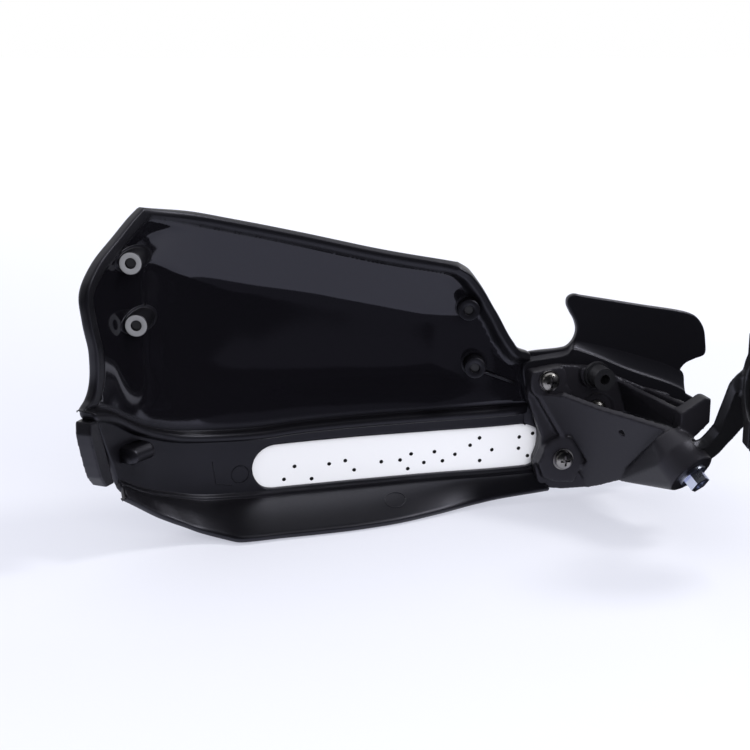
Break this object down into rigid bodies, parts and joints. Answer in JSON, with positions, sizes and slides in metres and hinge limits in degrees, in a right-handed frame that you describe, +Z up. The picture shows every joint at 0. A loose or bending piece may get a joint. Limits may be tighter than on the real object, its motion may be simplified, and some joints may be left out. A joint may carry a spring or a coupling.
{
  "type": "motorcycle hand guard",
  "caption": "Left-hand motorcycle hand guard: curved black plastic shell with rim and lower lip, pale vented strip, front cover, end cap, and an arm with a handlebar clamp.",
  "frame": {"origin": "centre of the handlebar clamp's bore, halfway along the clamp", "axes": "+X along the handlebar towards the middle of the motorcycle, +Y forwards, away from the rider, +Z up"},
  "size_m": [0.2831, 0.1322, 0.1425],
  "materials": {
    "shell_plastic": "semi-gloss moulded black",
    "cover_plastic": "fine textured black",
    "arm_plastic": "satin dark grey, glass filled",
    "strip_plastic": "satin white",
    "clamp_metal": "black anodised cast",
    "black_steel": "dark zinc plated",
    "zinc_steel": "bluish zinc plated",
    "insert_brass": "turned and knurled",
    "bush_rubber": "smooth black"
  },
  "bodies": {
    "root": {"guard_shell": "shell_plastic", "accent_strip": "strip_plastic", "front_cover": "cover_plastic", "cover_screw_1": "black_steel", "cover_screw_2": "black_steel", "cover_screw_3": "black_steel", "cover_screw_4": "black_steel", "end_cap": "shell_plastic", "end_cap_screw": "black_steel", "mount_arm": "arm_plastic", "arm_screw_upper": "black_steel", "arm_screw_lower": "black_steel", "arm_screw_inner": "black_steel", "arm_washer_upper": "black_steel", "arm_washer_lower": "black_steel", "arm_washer_inner": "black_steel", "insert_upper": "insert_brass", "insert_lower": "insert_brass", "insert_inner": "insert_brass", "rubber_bush": "bush_rubber", "clamp_bolt": "zinc_steel", "clamp_nut": "zinc_steel", "clamp_body": "clamp_metal", "clamp_cap": "clamp_metal", "clamp_screw_upper": "black_steel", "clamp_screw_lower": "black_steel"}
  },
  "joints": []
}
